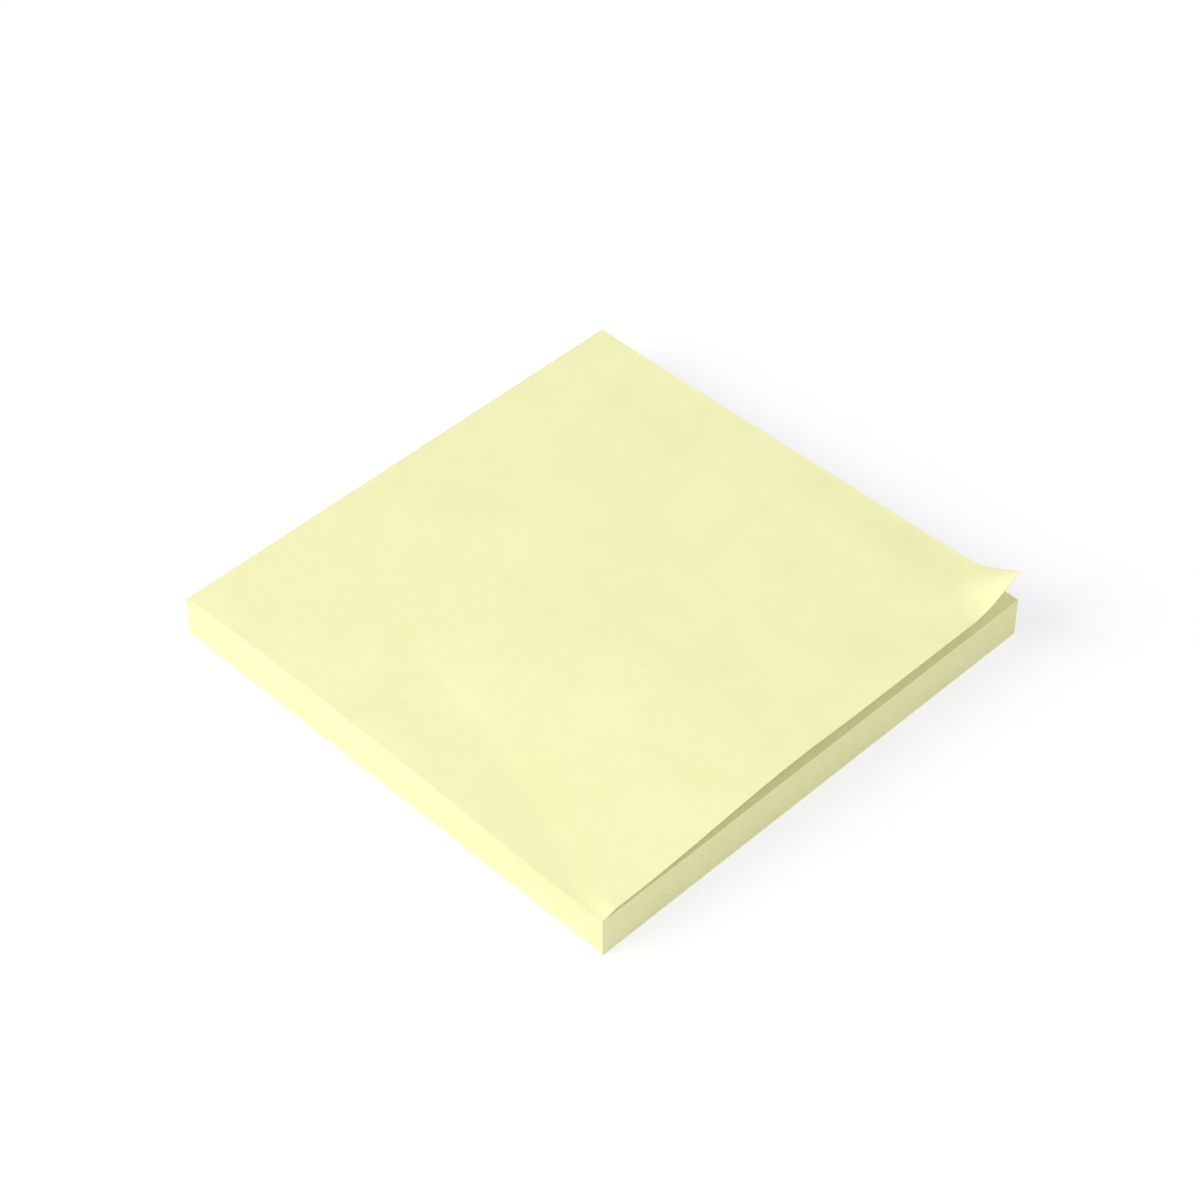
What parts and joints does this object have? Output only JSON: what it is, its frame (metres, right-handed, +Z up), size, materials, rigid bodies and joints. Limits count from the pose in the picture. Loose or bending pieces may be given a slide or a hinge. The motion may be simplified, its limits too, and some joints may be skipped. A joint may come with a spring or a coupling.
{
  "type": "sticky note pad",
  "caption": "Square pad of pale yellow sticky notes with a backing sheet; the top note is lifted at its front edge and curled up at one corner.",
  "frame": {"origin": "centre of the pad's underside", "axes": "+Z up out of the top note; +Y towards the glued back edge; +X to the right of the notes"},
  "size_m": [0.0762, 0.0762, 0.0113],
  "materials": {
    "note_paper": "uncoated matt note paper, pale yellow",
    "backing_paper": "uncoated matt stiffer paper, pale yellow",
    "adhesive": "thin matt film of removable adhesive, the colour of the paper under it"
  },
  "bodies": {
    "root": {"backing_sheet": "backing_paper", "note_block": "note_paper", "adhesive_strip": "adhesive", "top_note": "note_paper"}
  },
  "joints": []
}
